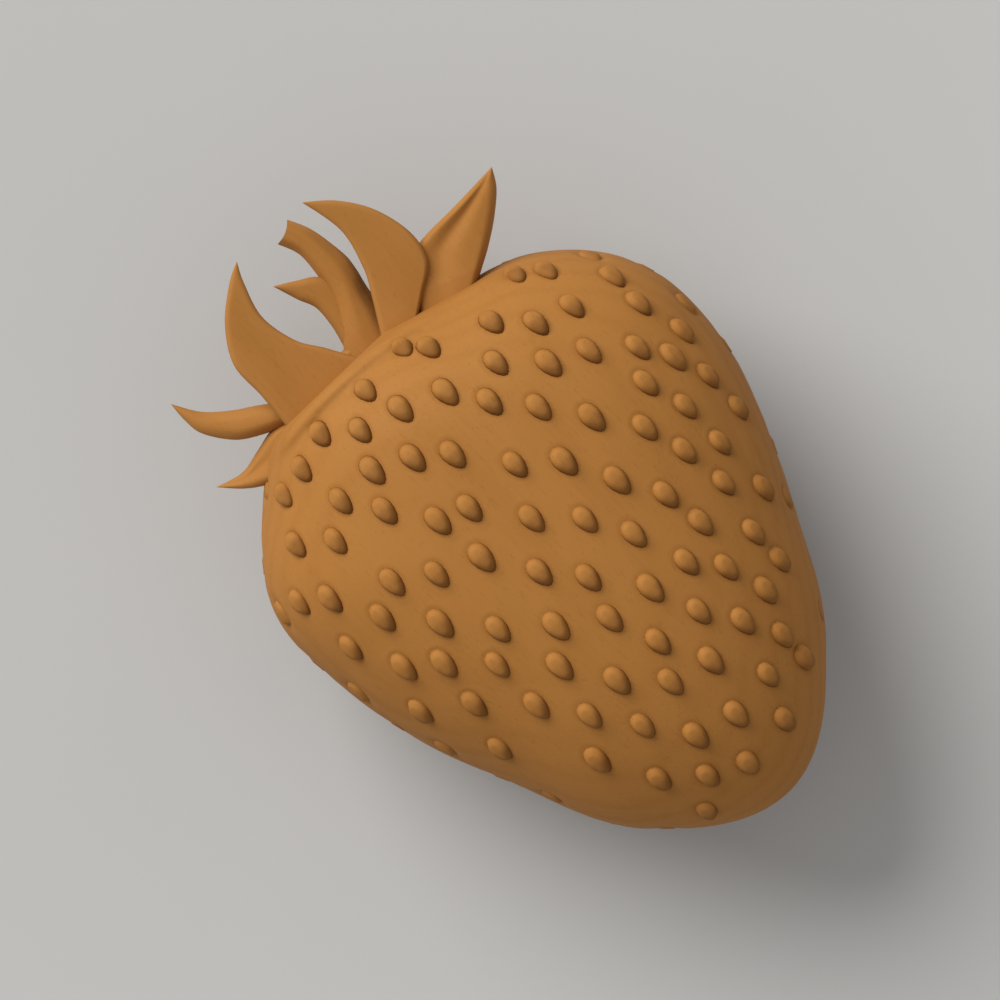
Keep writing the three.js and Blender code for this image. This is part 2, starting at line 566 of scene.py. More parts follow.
@dataclass(frozen=True)
class SeedPlaces:
    """Where the seeds sit: listed one by one on the front, and in even staggered rows round the back.

    The front places are in millimetres seen from above, row by row from +Y to -Y. Seeds by the
    calyx are tucked in, and those round the widest outline lie in pits, flush with it: a seed
    sinks as its outward direction nears the level, from the second upright share to the first.
    """

    form: FruitForm
    row_gap: float = 4.2 * MM
    row_shifts: Pair = (0.25, 0.75)
    seed_gap: float = 4.9 * MM
    closest: float = 3.3 * MM
    wander: float = 0.35 * MM
    back_top: float = 3.4 * MM
    overlap: float = 0.2
    level: float = 0.35
    floor_room: float = 1.1 * MM
    seat_room: float = 2.4 * MM
    tip_room: float = 0.2 * MM
    tuck: float = 2.6 * MM
    tuck_depth: float = 0.7
    upright: Pair = (0.15, 0.7)
    front_flush: float = 0.45
    path_points: int = 240
    random_seed: int = 7
    front: tuple[tuple[Pair, ...], ...] = (
        ((-16.5, 2), (-16, -2.5), (-16, -7.5)),
        ((-14.5, 12.5), (-13, 8.5), (-15, 3.5), (-13, -1.5), (-14, -5), (-15, -10.5), (-14.5, -13)),
        ((-13, 14.5), (-10.5, 11), (-10.4, 6.5), (-11.5, 2), (-11, -6.5), (-11, -10), (-11, -15)),
        ((-9, 18), (-9.5, 14), (-7.5, 9.5), (-8.5, 4), (-7.5, -1), (-9.5, -3.5), (-8, -8), (-9, -12.5),
         (-7.5, -18)),
        ((-6, 18), (-3.5, 15.5), (-6, 12.5), (-5.5, 6.5), (-3.5, 2), (-3.5, -3), (-4.5, -5.5), (-3.5, -11.5),
         (-6, -16)),
        ((-2, 19), (-1, 17), (-1, 14), (1.5, 11.5), (-2, 9), (-1, 5), (0.5, 0), (0, -5), (-1.5, -8.5),
         (-2, -14), (-2, -17.5)),
        ((2, 18), (2.5, 15), (3, 7), (3.5, 3), (4, -2.5), (5, -8), (1.5, -11), (4, -13), (2, -15.5)),
        ((5.5, 18), (6.5, 15), (5, 12.5), (6.5, 9), (7, 5), (7, 0), (8, -4.5), (7, -10), (8, -13.5),
         (5.5, -17)),
        ((11.5, 15), (9, 13), (10, 9.5), (11.5, 6.5), (11, 3), (10.5, -1), (10.5, -6.5), (11.5, -10),
         (12, -14.5)),
        ((13.5, 12), (14, 8.5), (15, 4.5), (14.5, 0.5), (14.5, -4), (15, -7.5)),
        ((16.5, 12), (17.5, 9.5), (18, 6.5), (18.5, 2.5), (17.5, -1), (18.5, -5), (18, -9.5)),
        ((21, 8), (23.5, 8), (22.5, 5), (23, 1), (22, -2.5), (25, -4), (22.5, -7)),
        ((26, 3.5), (26.5, -1), (27, -6)),
    )

    def front_places(self) -> Array:
        """Lifts the front places on to the fruit's surface."""
        x, y = np.concatenate(self.front).T * MM
        return np.stack([x, y, self.form.front_height(x, y)], axis=-1)

    def back_row(self, x: float, shift: float, draw: np.random.Generator) -> Array:
        """Spaces one row evenly round the back.

        Args:
            x: The row's distance along the fruit.
            shift: How far on the row starts, as a share of one gap.
            draw: Where the small random moves come from.

        Returns:
            The row's places.
        """
        turn = np.linspace(math.pi - self.overlap, math.tau + self.overlap, self.path_points)
        distance = travelled(self.form.around(np.full_like(turn, x), turn))
        count = round(distance[-1] / self.seed_gap)
        stops = (np.arange(count) + shift) / count * distance[-1]
        stops = stops + draw.uniform(-1, 1, count) * self.wander
        moved = x + draw.uniform(-1, 1, count) * self.wander
        return self.form.around(moved, np.interp(stops, distance, turn))

    def places(self) -> Array:
        """Lists every seed: the front ones, and the back ones that keep clear of them and the floor.

        Returns:
            Their places, the front ones first.
        """
        draw = np.random.default_rng(self.random_seed)
        kept = list(self.front_places())
        first, last = self.form.seat + self.seat_room, self.form.radii[0] * MM - self.tip_room
        for number, x in enumerate(np.arange(first, last, self.row_gap)):
            for place in self.back_row(x, self.row_shifts[number % 2], draw):
                room = np.linalg.norm(np.array(kept) - place, axis=1).min()
                if room > self.closest and self.floor_room < place[2] < self.form.middle + self.back_top:
                    kept.append(place)
        return np.array(kept)

    def sunk(self, places: Array, upright: Array) -> Array:
        """How deeply each seed is sunk, from 0 to 1.

        Args:
            places: Where the seeds are, the front ones first.
            upright: How much each one's outward direction points up or down.

        Returns:
            One number for each seed.
        """
        tucked = np.clip(1 - (places[:, 0] - self.form.seat) / self.tuck, 0, 1)
        low, high = self.upright
        flush = np.clip((high - np.abs(upright)) / (high - low), 0, 1)
        flush[:sum(map(len, self.front))] *= self.front_flush
        return np.maximum(tucked * self.tuck_depth, flush)

    def points_mesh(self) -> Mesh:
        """Makes the loose points that the seeds are set on.

        A seed aims along the fruit, and dips with the surface except where that is steep.

        Returns:
            A mesh of points, each with its outward direction, its aim and how far it is sunk.
        """
        places = self.places()
        normals = self.form.normals(places)
        upright = normals[:, 2]
        dip = -normals[:, 0] * upright / (upright**2 + self.level**2)
        mesh = bpy.data.meshes.new("seed_places")
        mesh.from_pydata(places.tolist(), [], [])
        store(mesh, "outward", normals)
        store(mesh, "aim", np.stack([np.ones_like(dip), np.zeros_like(dip), dip], axis=1))
        store(mesh, "sunk", self.sunk(places, upright))
        return mesh


# Finishes


@dataclass(frozen=True)
class Grain:
    """The wood's figure that every finish shares: growth rings, fibres along X and short pores."""

    name: str = "carved_grain"
    heart: Triple = (0.0, 11 * MM, -34 * MM)
    ring_stretch: Triple = (0.06, 1.0, 1.0)
    ring_power: float = 2.2
    sway: float = 3.2 * MM
    sway_noise: Pair = (70.0, 2.0)
    fibre_stretch: Triple = (0.07, 1.0, 1.0)
    fibre_noise: Pair = (2600.0, 3.0)
    pore_stretch: Triple = (0.16, 1.0, 1.0)
    pore_noise: Pair = (5200.0, 1.0)
    pore_edge: Pair = (0.64, 0.74)
    cloud_noise: Pair = (160.0, 3.0)
    cloud_share: float = 0.5
    fibre_roughness: float = 0.18
    ring_roughness: float = 0.05
    fibre_height: float = 0.5
    pore_height: float = -0.7

    COLOURS = ("Pale", "Dark")
    AMOUNTS = ("Ring Spacing", "Ring Strength", "Fibre Strength", "Pore Strength", "Roughness")
    MEAN = 0.5

    def build(self) -> None:
        """Builds the node group, with its colour, its roughness and its height for a bump."""
        colours, amounts = dict.fromkeys(self.COLOURS, "Color"), dict.fromkeys(self.AMOUNTS, "Float")
        outputs = {"Color": "Color", "Roughness": "Float", "Height": "Float"}
        board = GroupBoard(self.name, TreeKind.SHADER, {"Place": "Vector", **colours, **amounts}, outputs)
        given = board.given

        centred = board.vector("SUBTRACT", given["Place"], self.heart).outputs[0]
        section = board.vector("MULTIPLY", centred, self.ring_stretch).outputs[0]
        radius = board.vector("LENGTH", section).outputs["Value"]
        swayed = board.plus(radius, board.times(board.noise(given["Place"], *self.sway_noise), self.sway))
        turns = board.over(swayed, given["Ring Spacing"])
        wave = board.math("SINE", board.times(turns, math.tau))
        ring = board.math("POWER", board.times_plus(wave, 0.5, 0.5), self.ring_power)
        fibre = board.noise(given["Place"], *self.fibre_noise, self.fibre_stretch)
        pore = board.ramp(board.noise(given["Place"], *self.pore_noise, self.pore_stretch), *self.pore_edge)
        cloud = board.noise(given["Place"], *self.cloud_noise)

        shade = board.times(ring, given["Ring Strength"])
        streak = board.times(board.minus(fibre, self.MEAN), given["Fibre Strength"])
        mottle = board.times(board.minus(cloud, self.MEAN), self.cloud_share)
        share = board.plus(board.plus(shade, streak), mottle, clamp=True)
        pored = board.times_plus(pore, given["Pore Strength"], share, clamp=True)
        board.feed(board.result["Color"], board.blend(pored, given["Pale"], given["Dark"]))
        rough = board.times_plus(board.minus(fibre, self.MEAN), self.fibre_roughness, given["Roughness"])
        rougher = board.times_plus(ring, self.ring_roughness, rough, clamp=True)
        board.feed(board.result["Roughness"], rougher)
        sunk = board.times(pore, self.pore_height)
        board.feed(board.result["Height"], board.times_plus(fibre, self.fibre_height, sunk))


@dataclass(frozen=True)
class ShadeAndWear:
    """The marks that every finish shares: shade painted in recesses and on the seeds' walls, and edges rubbed
    paler by wear.
    """

    name: str = "handling"
    patch_noise: Pair = (420.0, 2.0)
    patch_edge: Pair = (0.3, 0.7)
    patch_least: float = 0.6
    hollow_roughness: float = 0.12
    rub_roughness: float = -0.1

    COLOURS = ("Oiled", "Rubbed")
    AMOUNTS = ("Oil Strength", "Rub Strength")
    # The marks that pieces store on each vertex: where shade is painted, and where edges are worn.
    MARKS = ("Hollow", "Edge")

    def build(self) -> None:
        """Builds the node group, with its colour and its roughness."""
        colours = dict.fromkeys(("Color", *self.COLOURS), "Color")
        amounts = dict.fromkeys(("Roughness", *self.MARKS, *self.AMOUNTS), "Float")
        outputs = {"Color": "Color", "Roughness": "Float"}
        board = GroupBoard(self.name, TreeKind.SHADER, {"Place": "Vector", **colours, **amounts}, outputs)
        given = board.given
        noise = board.noise(given["Place"], *self.patch_noise)
        patch = board.ramp(noise, *self.patch_edge, self.patch_least, 1.0)
        # Painted shade: the dark shade colour is mixed in, in patches, where each piece's mark says; the
        # rubbed colour on edges is wear.
        shade_share = board.times(board.times(given["Hollow"], given["Oil Strength"]), patch)
        rub = board.times(board.times(given["Edge"], given["Rub Strength"]), patch)
        oiled = board.blend(shade_share, given["Color"], given["Oiled"])
        board.feed(board.result["Color"], board.blend(rub, oiled, given["Rubbed"]))
        rougher = board.times_plus(given["Hollow"], self.hollow_roughness, given["Roughness"])
        worn = board.times_plus(given["Edge"], self.rub_roughness, rougher, clamp=True)
        board.feed(board.result["Roughness"], worn)


@dataclass(frozen=True)
class WoodFinish:
    """One satin wood finish, as it looks on one kind of piece, with a colour for painted shade."""

    name: str
    grain: Grain = Grain()
    handling: ShadeAndWear = ShadeAndWear()
    pale: Colour = (0.357, 0.152, 0.033, 1.0)
    dark: Colour = (0.293, 0.117, 0.023, 1.0)
    # Painted shade: the dark colour mixed in at recesses and on the seeds' walls.
    oiled: Colour = (0.120, 0.044, 0.009, 1.0)
    rubbed: Colour = (0.413, 0.193, 0.057, 1.0)
    ring_spacing: float = 1.6 * MM
    ring_strength: float = 0.35
    fibre_strength: float = 0.5
    pore_strength: float = 0.25
    roughness: float = 0.62
    oil_strength: float = 0.4
    rub_strength: float = 0.35
    shine: float = 0.12
    grain_depth: float = 0.03 * MM
    grain_strength: float = 0.6

    def material(self) -> Material:
        """Builds the material.

        Returns:
            A Principled material fed by the grain group and the group of painted shade and wear.
        """
        material = bpy.data.materials.new(self.name)
        material.use_nodes = True
        material.node_tree.nodes.clear()
        board = NodeBoard(material.node_tree)
        place = board.add("ShaderNodeTexCoord").outputs["Object"]
        grain = self.group(board, self.grain, {"Place": place})
        marks = {
            label: board.add("ShaderNodeAttribute", attribute_name=label.lower()).outputs["Fac"]
            for label in self.handling.MARKS
        }
        worn = {"Color": grain["Color"], "Roughness": grain["Roughness"], "Place": place, **marks}
        shaded_worn = self.group(board, self.handling, worn)
        relief = {"Strength": self.grain_strength, "Distance": self.grain_depth, "Height": grain["Height"]}
        shader = board.add("ShaderNodeBsdfPrincipled", {
            "Base Color": shaded_worn["Color"],
            "Roughness": shaded_worn["Roughness"],
            "Normal": board.add("ShaderNodeBump", relief).outputs["Normal"],
            "Specular IOR Level": self.shine,
        })
        board.add("ShaderNodeOutputMaterial", {"Surface": shader.outputs["BSDF"]})
        return material

    def group(self, board: NodeBoard, effect: Grain | ShadeAndWear, values: dict[str, object]) -> object:
        """Places a shared effect in the material, with this finish's colours and amounts."""
        inputs = {**named(self, *effect.COLOURS, *effect.AMOUNTS), **values}
        return board.add("ShaderNodeGroup", inputs, node_tree=bpy.data.node_groups[effect.name]).outputs


# Painted shade is weak on the fruit, strong on the seeds' walls and in the stem's crease.
FRUIT_FINISH = WoodFinish("fruit_wood", ring_strength=0.22, oil_strength=0.15)
SEED_FINISH = WoodFinish("seed_wood", ring_strength=0.25, oil_strength=0.95, rub_strength=0.1)
CALYX_FINISH = WoodFinish("calyx_wood", ring_strength=0.3, roughness=0.66, oil_strength=0.8)


# Fruit and seeds


@dataclass
class Seeds:
    """The raised seeds: one teardrop button, set on every seed place by Geometry Nodes.

    Lengths are in metres. The crown, where the steep wall starts, and the inner ring are shares
    of the way out to the rim.
    """

    where: SeedPlaces
    finish: WoodFinish
    length: float = 2.8 * MM
    width: float = 1.75 * MM
    height: float = 0.57 * MM
    bead: float = 0.12 * MM
    lean: float = 0.15
    pitch: float = 0.18
    taper: float = 0.22
    crown: float = 0.66
    foot: float = 0.08 * MM
    sunk_foot: float = 0.65 * MM
    # How much of their painted shade the seeds in pits lose.
    pit_shade_cut: float = 0.6
    smallest: float = 0.94
    largest: float = 1.05
    random_seed: int = 11
    sides: int = 14
    rings: int = 5
    inner: float = 0.32

    SIZES = (
        "Length", "Width", "Height", "Bead", "Lean", "Pitch", "Taper", "Crown", "Foot", "Sunk Foot",
        "Smallest", "Largest", "Random Seed",
    )
    AT_POLE = 0.01
    SLIMMEST = 0.001
    # Painted shade on each seed's wall: how wide the band is, and where it fades out from the front towards
    # the rear.
    SHADE_WIDTH = 0.14
    SHADE_AHEAD = (-0.5, 0.3)
    WORN_TOP = (0.1, 0.5)

    def tree(self) -> GroupBoard:
        """Builds the tree that shapes one seed and sets a copy on every place.

        Returns:
            The tree's board.
        """
        inputs = {"Places": "Geometry", **named(self, *self.SIZES)}
        board = GroupBoard("set_seeds", TreeKind.GEOMETRY, inputs, {"Geometry": "Geometry"})
        given = board.given
        outward = board.attribute("outward", "FLOAT_VECTOR")
        extra = board.minus(given["Sunk Foot"], given["Foot"])
        drop = board.times_plus(board.attribute("sunk"), extra, given["Foot"])
        lowered = board.place(given["Places"], "Offset", board.shift(outward, board.times(drop, -1.0)))
        axes = {"Primary Axis": outward, "Secondary Axis": board.attribute("aim", "FLOAT_VECTOR")}
        facing = board.add("FunctionNodeAxesToRotation", axes, primary_axis="Z", secondary_axis="X")
        size = board.add("FunctionNodeRandomValue", {"Seed": given["Random Seed"]}, data_type="FLOAT")
        limits = [socket for socket in size.inputs if socket.enabled and socket.type == "VALUE"]
        for limit, label in zip(limits, ("Smallest", "Largest")):
            board.feed(limit, given[label])
        setting = board.add("GeometryNodeInstanceOnPoints", {
            "Points": lowered,
            "Instance": self.button(board),
            "Rotation": facing.outputs["Rotation"],
            "Scale": next(socket for socket in size.outputs if socket.enabled),
        })
        board.finish(setting.outputs["Instances"], self.finish.material())
        return board

    def button(self, board: GroupBoard) -> Socket:
        """Shapes one seed from a ball: a gently domed crown, tilted up towards +X, with a steep wall.

        All but the ball's last pole make the seen side, and its rings are spaced evenly from
        just inside the crown to the rim, so that the crown stays smooth up to the wall.

        Args:
            board: The tree's board.

        Returns:
            The seed's geometry, which carries where it is worn and where shade is painted on its wall.
        """
        given = board.given
        ball = board.add("GeometryNodeMeshUVSphere", {"Segments": self.sides, "Rings": self.rings})
        place = board.add("GeometryNodeInputPosition").outputs[0]
        x, y, z = board.add("ShaderNodeSeparateXYZ", {0: place}).outputs
        last = (self.rings - 1) / self.rings
        turned = board.over(board.math("ARCCOSINE", z), math.pi)
        seen = board.over(turned, last)
        under = board.over(board.minus(1.0, turned), 1 - last)
        spaced = board.times_plus(seen, 1 - self.inner, self.inner)
        beyond_pole = board.math("GREATER_THAN", seen, self.AT_POLE)
        out = board.math("MINIMUM", board.times(spaced, beyond_pole), under, clamp=True)
        girth = board.math("SQRT", board.plus(board.times(x, x), board.times(y, y)))
        slim = board.math("MAXIMUM", girth, self.SLIMMEST)
        ahead = board.over(x, slim)
        forward = board.times(ahead, out)
        sideways = board.times(board.over(y, slim), out)
        narrowing = board.minus(1.0, board.times(forward, given["Taper"]))
        half = board.times(board.times(sideways, 0.5), given["Width"])
        tall = board.times(given["Height"], board.times_plus(forward, given["Pitch"], 1.0))
        plateau = board.times(board.ramp(out, given["Crown"], 1.0, 1.0, 0.0), tall)
        inner = board.minus(1.0, out)
        top = board.times_plus(board.times(inner, inner), given["Bead"], plateau)
        rise = board.times(top, board.math("LESS_THAN", seen, 1.0))
        sole = board.times(board.math("MAXIMUM", board.minus(seen, 1.0), 0.0), -self.rings * self.foot)
        leant = board.minus(forward, board.times(inner, given["Lean"]))
        shape = board.add("ShaderNodeCombineXYZ", {
            "X": board.times(board.times(leant, 0.5), given["Length"]),
            "Y": board.times(half, narrowing),
            "Z": board.plus(rise, sole),
        })
        shaped = board.place(ball.outputs["Mesh"], "Position", shape.outputs["Vector"])
        # Painted shade: dark on the wall's front, the side turned away from the lamp.
        wall = board.ramp(out, given["Crown"], board.plus(given["Crown"], self.SHADE_WIDTH))
        steep = board.times(wall, board.ramp(ahead, *self.SHADE_AHEAD))
        low = board.keep(shaped, "hollow", steep)
        high = board.keep(low, "edge", board.ramp(seen, *self.WORN_TOP, 1.0, 0.0))
        return board.add("GeometryNodeSetShadeSmooth", {"Geometry": high}).outputs["Geometry"]

    def build(self) -> Piece:
        """Makes the seeds as one plain mesh, with less painted shade on the ones that lie in pits.

        Returns:
            The finished object.
        """
        seeds = self.tree().grow("seeds", self.where.points_mesh())
        shade_share, sinking = (seeds.data.attributes[name].data for name in ("hollow", "sunk"))
        shade_share.foreach_set("value", (read(shade_share, "value") * (1 - self.pit_shade_cut * read(sinking, "value"))).ravel())
        return seeds


@dataclass
class Fruit:
    """The fruit's carved body, with its shoulder lip and a dimple round every seed."""

    form: FruitForm
    shoulder: Shoulder
    finish: WoodFinish
    cuts: int = 127
    dimple_depth: float = 0.03 * MM
    dimple_start: float = 0.05 * MM
    dimple_reach: float = 0.3 * MM
    dimple_rim: float = 0.02 * MM
    pit_depth: float = 0.2 * MM
    pit_reach: float = 0.8 * MM

    SIZES = ("Dimple Depth", "Dimple Start", "Dimple Reach", "Dimple Rim", "Pit Depth", "Pit Reach")

    def body(self) -> Mesh:
        """Shapes the fruit before its dimples from a finely cut box, so that no pole shows on it.

        Returns:
            The fruit with its form and its shoulder.
        """
        mesh = bpy.data.meshes.new("fruit")
        box = bmesh.new()
        bmesh.ops.create_cube(box, size=2.0)
        bmesh.ops.subdivide_edges(box, edges=box.edges, cuts=self.cuts, use_grid_fill=True)
        box.to_mesh(mesh)
        box.free()
        directions = np.tan(read(mesh.vertices, "co", 3).astype(float) * (math.pi / 4))
        directions /= np.linalg.norm(directions, axis=1, keepdims=True)
        points = self.form.from_directions(directions)
        front = directions[:, 2] > 0
        points[:, 2] += front * self.shoulder.rise(points)
        move_vertices(mesh, self.cut(points))
        mesh.shade_smooth()
        return mesh

    def cut(self, points: Array) -> Array:
        """Cuts the flat spot and the calyx's seat."""
        return np.maximum(points, np.array((self.form.seat, -np.inf, 0.0)))

    def tree(self, seeds: Piece) -> GroupBoard:
        """Builds the tree that presses a dimple round every seed, marked for painted shade, and a pit round
        the sunk ones.

        Args:
            seeds: The finished seeds.

        Returns:
            The tree's board.
        """
        inputs = {"Body": "Geometry", "Seeds": seeds, **named(self, *self.SIZES)}
        board = GroupBoard("press_dimples", TreeKind.GEOMETRY, inputs, {"Geometry": "Geometry"})
        given = board.given
        seen = board.add("GeometryNodeObjectInfo", {"Object": given["Seeds"]}, transform_space="RELATIVE")
        neighbour = seen.outputs["Geometry"]
        nearest = board.add("GeometryNodeProximity", {0: neighbour}, target_element="FACES")
        away = nearest.outputs["Distance"]
        start, reach = given["Dimple Start"], given["Dimple Reach"]
        hollow = board.ramp(away, start, reach, 1.0, 0.0)
        wide = board.ramp(away, reach, board.times(reach, 2.0), 1.0, 0.0)
        rim = board.times(board.minus(wide, hollow), given["Dimple Rim"])
        sample = {0: neighbour, "Value": board.attribute("sunk")}
        sunk = board.add("GeometryNodeSampleNearestSurface", sample, data_type="FLOAT").outputs["Value"]
        near = board.ramp(away, start, given["Pit Reach"], 1.0, 0.0)
        pit = board.times(near, board.times(sunk, given["Pit Depth"]))
        depth = board.times_plus(hollow, given["Dimple Depth"], pit)
        outward = board.add("GeometryNodeInputNormal").outputs["Normal"]
        # Painted shade: each dimple round a seed is marked to be darkened.
        kept = board.keep(given["Body"], "hollow", hollow)
        pressed = board.place(kept, "Offset", board.shift(outward, board.minus(rim, depth)))
        board.finish(pressed, self.finish.material())
        return board

    def build(self, seeds: Piece) -> Piece:
        """Makes the fruit round the finished seeds, as one plain mesh.

        Args:
            seeds: The finished seeds.

        Returns:
            The finished object.
        """
        fruit = self.tree(seeds).grow("fruit_body", self.body())
        move_vertices(fruit.data, self.cut(read(fruit.data.vertices, "co", 3)))
        return fruit


# Calyx and stem


@dataclass(frozen=True)
class Edge:
    """A smooth edge through a few points seen from above, in millimetres, from base to tip."""

    points: tuple[Pair, ...]

    STEPS = 24
    FIRST_SPAN = 3

    def curve(self) -> Array:
        """Samples the edge closely.

        Returns:
            Places seen from above, in metres, from base to tip.
        """
        knots = np.array(self.points, float) * MM
        padded = np.concatenate([knots[:1], knots, knots[-1:]])
        part = np.linspace(0, 1, self.STEPS, endpoint=False)[:, None]
        spans = [along_curve(*four, part) for four in zip(padded, padded[1:], padded[2:], padded[3:])]
        return np.concatenate([*spans, knots[-1:]])

    @property
    def length(self) -> float:
        """The edge's length in metres."""
        return float(travelled(self.curve())[-1])

    def at(self, along: Array) -> Array:
        """Gives places at shares of the edge's length.

        Args:
            along: Shares from 0 at the base to 1 at the tip. Below 0 the edge runs straight on.

        Returns:
            One place seen from above for each share.
        """
        curve = self.curve()
        distance = travelled(curve)
        wanted = along * distance[-1]
        places = np.stack([np.interp(wanted, distance, curve[:, axis]) for axis in (0, 1)], axis=1)
        heading = (curve[self.FIRST_SPAN] - curve[0]) / distance[self.FIRST_SPAN]
        return places + np.minimum(wanted, 0)[:, None] * heading


@dataclass(frozen=True)
class Section:
    """The outline of a limb's cross-section: flat faces between two rounded rims."""

    flat_points: int
    rim_points: int

    def loop(self) -> tuple[Array, Array, Array]:
        """Walks round the section once.

        Returns:
            For each point its share along the flat faces, its share out over the rim, and its
            height, all from -1 to 1.
        """
        angle = np.linspace(0, math.pi / 2, self.rim_points + 1)
        run = np.linspace(1, -1, self.flat_points + 2)[1:-1]
        right = np.stack([np.ones_like(angle), np.cos(angle), np.sin(angle)], axis=1)
        face = np.stack([run, np.zeros_like(run), np.ones_like(run)], axis=1)
        left = right[::-1] * (-1, -1, 1)
        top = np.concatenate([right, face, left])
        bottom = (top * (1, 1, -1))[::-1][1:-1]
        return tuple(np.concatenate([top, bottom]).T)


@dataclass
class Limb:
    """A sepal, bract or stem that runs from its base to its tip between two edges.

    It stands for the CAD node whose name it has. The left edge is on the left when looking from
    the base to the tip. Lifts, thicknesses and reliefs are in millimetres. The root is how far
    the limb runs on into what it grows from, and the reach is the share of its edges that it
    keeps. A bite bows its cut end in, and a dish hollows that end.
    """

    node: str
    left: Edge
    right: Edge
    lift: Pair
    thickness: Pair = (1.4, 0.5)
    rim: float = 0.45
    crease: float = 0.0
    crease_at: float = 0.0
    roll: float = 0.0
    crown: float = 0.12
    flutes: float = 0.0
    dish: float = 0.0
    bite: float = 0.0
    # Painted shade: how dark the crease along the right edge near the base is painted.
    fold_shade: float = 0.0
    narrow: float = 1.0
    point: float = 0.0
    reach: float = 0.995
    root: float = 1.2
    steps: int = 72
    section: Section = Section(flat_points=22, rim_points=7)

    FLARE = 1.5
    POINT_POWER = 3
    BITE_REACH = 12
    FLUTE_COUNT = 7
    FLUTE_TWIST = 5
    TIP_SHARE = 0.99
    TIP_POWER = 12
    WIDEST_RIM = 0.9
    SLIMMEST = 1e-9
    BEND_SPAN = (0.9, 0.1)
    VALLEY_WIDTH = 0.33
    FOLD_ACROSS = (0.3, 0.6)
    FOLD_ALONG = (0.35, 0.6)
    EDGE_WEAR = 0.45 * MM
    CAP_RINGS = (0.75, 0.5, 0.25)
    SHARP = 42.0

    def build(self, middle: float, material: Material) -> Piece:
        """Makes the limb as a closed mesh.

        Args:
            middle: Height of the fruit's widest outline above the floor.
            material: The limb's finish.

        Returns:
            The finished object.
        """
        rings, share, width = self.rings(middle)
        ends = [self.cap(rings[0], rings[1], 0.0), self.cap(rings[-1], rings[-2], self.dish * MM)]
        points, faces = close_rings(rings, ends)
        worn = np.exp(-(1 - np.abs(share)) * width[:, None] / self.EDGE_WEAR)
        piece = carve(self.node + "_carved", points, faces, self.SHARP, material)
        # Worn edges are real wear; the second mark is painted shade in the crease near the base.
        for name, values in (("edge", worn), ("hollow", self.fold_shade_mask(share))):
            store(piece.data, name, np.pad(values.ravel(), (0, len(points) - values.size)))
        return piece

    def fold_shade_mask(self, share: Array) -> Array:
        """Where shade is painted in the crease along the right edge near the base, from 0 to 1."""
        along = np.linspace(0, 1, len(share))[:, None]
        return self.fold_shade * smooth_step(share, *self.FOLD_ACROSS) * (1 - smooth_step(along, *self.FOLD_ALONG))

    def rings(self, middle: float) -> tuple[Array, Array, Array]:
        """Lays out the limb's cross-sections.

        Args:
            middle: Height of the fruit's widest outline above the floor.

        Returns:
            The rings of points, each point's share across the limb, and the half width at each ring.
        """
        along = np.linspace(-self.root * MM / self.left.length, self.reach, self.steps + 1)
        left, right = self.left.at(along), self.right.at(along)
        pointed = (np.clip(along, 0, 1) / self.reach)[:, None] ** self.POINT_POWER
        centre, half = (left + right) / 2, (right - left) / 2 * (self.narrow * (1 - self.point * pointed))
        width = np.linalg.norm(half, axis=1)
        run, out, height = self.section.loop()
        rim = np.minimum(self.rim * MM / np.maximum(width, self.SLIMMEST), self.WIDEST_RIM)[:, None]
        share = run * (1 - rim) + out * rim
        forward = np.clip(along, 0, 1)[:, None]
        fluted = np.cos(self.FLUTE_COUNT * np.arctan2(height, share) + self.FLUTE_TWIST * forward)
        swell = 1 + self.flutes * fluted
        flat = centre[:, None, :] + half[:, None, :] * (share * swell)[..., None]
        rise = self.lift[0] + (self.lift[1] - self.lift[0]) * forward**self.FLARE
        thick = (self.thickness[0] + (self.thickness[1] - self.thickness[0]) * forward) / 2
        body = height * thick * self.thinning(forward) * swell * (1 - self.crown * share**2)
        heading = np.gradient(centre, axis=0)
        heading /= np.linalg.norm(heading, axis=1, keepdims=True)
        bitten = MM * self.bite * (1 - share**2) * forward**self.BITE_REACH
        flat = flat - heading[:, None, :] * bitten[..., None]
        z = middle + MM * (rise + body + self.relief(share, height, forward))
        return np.concatenate([flat, z[..., None]], axis=2), share, width

    def thinning(self, forward: Array) -> Array:
        """The share of its thickness that the limb keeps: all of a cut stem, and little at a point."""
        nearness = self.TIP_SHARE * np.minimum(forward / self.reach, 1) * (self.reach < 1)
        return np.sqrt(1 - nearness**self.TIP_POWER)

    def relief(self, share: Array, height: Array, forward: Array) -> Array:
        """Bends the faces: creased, and rolled to one side.

        Args:
            share: Each point's share across the limb.
            height: Its height on the section.
            forward: Its share along the limb.

        Returns:
            How far each point is lifted, in millimetres.
        """
        slope, base = self.BEND_SPAN
        span = np.sin(math.pi * np.clip(forward * slope + base, 0, 1))
        valley = np.exp(-(((share - self.crease_at) / self.VALLEY_WIDTH) ** 2)) * np.clip(height, 0, 1)
        return span * (self.roll * share - self.crease * valley)

    def cap(self, ring: Array, neighbour: Array, depth: float) -> Array:
        """Closes an end with smaller rings and a centre point.

        Args:
            ring: The end's ring of points.
            neighbour: The ring next to it.
            depth: How deeply the middle of the end is hollowed.

        Returns:
            The cap's points, the centre last.
        """
        centre = ring.mean(axis=0)
        heading = centre - neighbour.mean(axis=0)
        inward = -heading / np.linalg.norm(heading) * depth
        rings = [centre + (ring - centre) * share + inward * (1 - share**2) for share in self.CAP_RINGS]
        return np.concatenate([*rings, (centre + inward)[None]])


